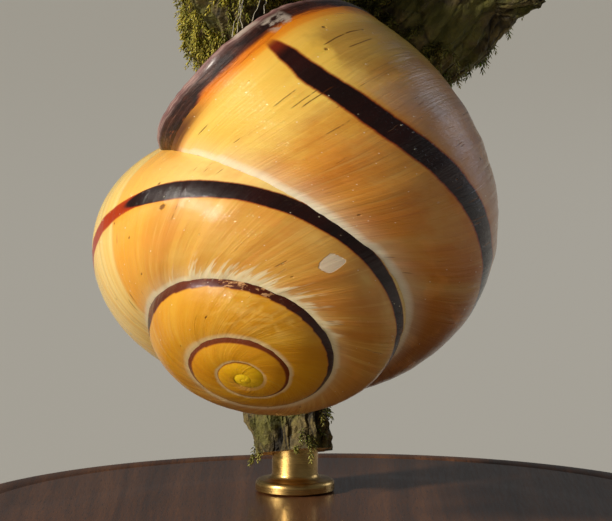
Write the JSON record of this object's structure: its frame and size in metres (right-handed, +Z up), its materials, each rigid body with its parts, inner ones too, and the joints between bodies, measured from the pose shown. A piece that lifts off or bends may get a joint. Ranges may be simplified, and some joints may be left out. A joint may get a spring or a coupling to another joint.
{
  "type": "striped snail on a mossy branch, museum model",
  "caption": "Life-size model of a yellow banded grove snail resting with its shell mouth on a short mossy branch, held by one rod over a round wooden base.",
  "frame": {"origin": "middle of the underside of the round display base", "axes": "+Z up, -Y towards the viewer who sees the shell's spire, +X to that viewer's right"},
  "size_m": [0.044, 0.044, 0.0382],
  "materials": {
    "shell_yellow": "gloss, wet",
    "shell_cream": "gloss, wet, one near-black spiral band",
    "shell_lip": "satin dark brown",
    "flesh": "moist, finely wrinkled",
    "bark": "rough bark with green moss",
    "base_wood": "dark, waxed",
    "rod_brass": "satin"
  },
  "bodies": {
    "root": {"shell_apex": "shell_yellow", "shell_spire_upper": "shell_yellow", "shell_spire_lower": "shell_yellow", "shell_penultimate_whorl": "shell_cream", "shell_body_whorl": "shell_cream", "shell_columella": "shell_cream", "shell_lip": "shell_lip", "body_mantle_collar": "flesh", "body_foot": "flesh", "perch_branch": "bark", "perch_side_limb": "bark", "stand_base": "base_wood", "stand_rod": "rod_brass"}
  },
  "joints": []
}
